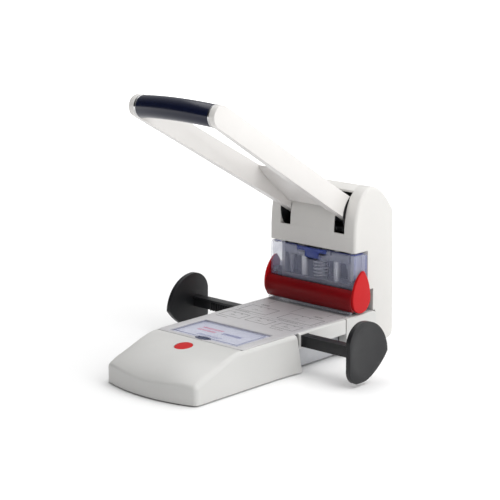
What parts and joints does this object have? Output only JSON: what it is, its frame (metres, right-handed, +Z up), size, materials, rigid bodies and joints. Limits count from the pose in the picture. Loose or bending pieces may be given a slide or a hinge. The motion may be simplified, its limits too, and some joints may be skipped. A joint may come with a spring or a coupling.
{
  "type": "hole punch",
  "caption": "Heavy-duty desk hole punch: long lever over a column, clear punch guard, clamp bar, sliding paper stops and a pull-out chip drawer.",
  "frame": {"origin": "middle of the footprint, on the surface it stands on", "axes": "+Z up, -Y to the front where the user stands, +X to the user's right"},
  "size_m": [0.2664, 0.314, 0.2836],
  "materials": {
    "housing_white": "fine moulded grain",
    "base_white": "fine moulded grain",
    "arm_white": "semi-gloss paint",
    "grip_navy": "glossy",
    "collar_silver": "bright",
    "stop_black": "fine texture",
    "bar_red": "satin",
    "button_red": "satin",
    "guard_clear": "clear tinted plastic",
    "foot_clear": "clear ribbed plastic",
    "latch_blue": "translucent",
    "plate_silver": "printed satin",
    "lid_clear": "clear",
    "tab_blue": "satin",
    "card": "printed",
    "steel_zinc": "zinc plated",
    "steel_dark": "oiled",
    "steel_bright": "ground",
    "frame_grey": "fine texture",
    "bin_grey": "fine texture",
    "rubber": "matt"
  },
  "bodies": {
    "base": {"base_chassis": "steel_zinc", "rubber_feet": "rubber", "bed_frame": "frame_grey", "bed_plate": "plate_silver", "label_card": "card", "pinion_post": "steel_bright", "side_cover_left": "base_white", "side_cover_right": "base_white", "base_rear_cover_left": "base_white", "base_rear_cover_right": "base_white", "die_plate": "steel_zinc", "die_bushes": "steel_bright", "back_stop": "steel_zinc", "side_plate_left": "steel_zinc", "side_plate_right": "steel_zinc", "spacer_bars": "steel_zinc", "plate_screws": "steel_dark", "head_plate": "steel_zinc", "head_lugs": "frame_grey", "guide_posts": "steel_bright", "post_bridge": "steel_zinc", "return_spring": "steel_bright", "pivot_shaft": "steel_bright", "shaft_rings": "steel_dark", "column_housing": "housing_white", "rear_cover": "housing_white"},
    "chip_drawer": {"drawer_front": "base_white", "chip_box": "bin_grey", "button_housing": "frame_grey", "button_spring": "steel_bright"},
    "button": {"release_button": "button_red"},
    "lid": {"label_lid": "lid_clear", "label_lid_tab": "tab_blue"},
    "lever": {"lever_arm_left": "arm_white", "lever_arm_right": "arm_white", "lever_bridge": "arm_white", "press_crank": "steel_dark", "crank_pin": "steel_bright", "grip_core": "steel_zinc", "grip_sleeve": "grip_navy", "grip_collar_left": "collar_silver", "grip_collar_right": "collar_silver", "hub_washers": "stop_black"},
    "links": {"press_links": "steel_zinc"},
    "press": {"press_beam": "steel_dark", "beam_pin": "steel_bright", "punch_left": "steel_dark", "punch_right": "steel_dark"},
    "clamp": {"pressure_bar": "bar_red", "bar_end_left": "button_red", "bar_end_right": "button_red", "clamp_foot": "foot_clear", "clamp_rods": "steel_bright"},
    "guard": {"guard": "guard_clear"},
    "latch": {"guard_latch": "latch_blue"},
    "right_stop": {"stop_rod_right": "stop_black", "stop_disc_right": "stop_black"},
    "left_stop": {"stop_rod_left": "stop_black", "stop_disc_left": "stop_black"},
    "pinion": {"stop_pinion": "frame_grey"}
  },
  "joints": [
    {"name": "lever_pivot", "type": "hinge", "parent": "base", "child": "lever", "pos_m": [0, 0.118, 0.1412], "axis": [1, 0, 0], "range_deg": [0, 39.5]},
    {"name": "link_pivot", "type": "hinge", "parent": "lever", "child": "links", "pos_m": [0, 0.10059, 0.14745], "axis": [-1, 0, 0], "range_deg": [0, 39.5]},
    {"name": "press_slide", "type": "slide", "parent": "base", "child": "press", "axis": [0, 0, -1], "range_m": [0, 0.0126], "deforming": ["return_spring"]},
    {"name": "clamp_slide", "type": "slide", "parent": "base", "child": "clamp", "axis": [0, 0, 1], "range_m": [0, 0.011]},
    {"name": "guard_hinge", "type": "hinge", "parent": "base", "child": "guard", "pos_m": [0, 0.0974, 0.0723], "axis": [-1, 0, 0], "range_deg": [-75, 0]},
    {"name": "latch_slide", "type": "slide", "parent": "guard", "child": "latch", "axis": [0, 0, -1], "range_m": [0, 0.002], "stiffness_N_per_m": 400, "springref_m": -0.0015},
    {"name": "right_stop_slide", "type": "slide", "parent": "base", "child": "right_stop", "axis": [1, 0, 0], "range_m": [-0.026, 0.022]},
    {"name": "left_stop_slide", "type": "slide", "parent": "base", "child": "left_stop", "axis": [-1, 0, 0], "range_m": [-0.0261, 0.0221]},
    {"name": "pinion_spin", "type": "hinge", "parent": "base", "child": "pinion", "pos_m": [0, 0.0308, 0.032], "axis": [0, 0, 1], "range_deg": [-98, 84]},
    {"name": "button_press", "type": "slide", "parent": "chip_drawer", "child": "button", "axis": [0, 0, -1], "range_m": [0, 0.0025], "stiffness_N_per_m": 500, "springref_m": -0.001, "deforming": ["button_spring"]},
    {"name": "drawer_slide", "type": "slide", "parent": "base", "child": "chip_drawer", "axis": [0, -1, 0], "range_m": [0, 0.12]},
    {"name": "lid_hinge", "type": "hinge", "parent": "base", "child": "lid", "pos_m": [0, -0.0232, 0.0406], "axis": [-1, 0, 0], "range_deg": [0, 105]}
  ],
  "couplings": [
    {"joint": "link_pivot", "follows": "lever_pivot", "ratio": 1},
    {"joint": "press_slide", "follows": "lever_pivot", "m_per_rad": 0.018132},
    {"joint": "left_stop_slide", "follows": "right_stop_slide", "ratio": 1},
    {"joint": "pinion_spin", "follows": "right_stop_slide", "rad_per_m": 64.935}
  ]
}
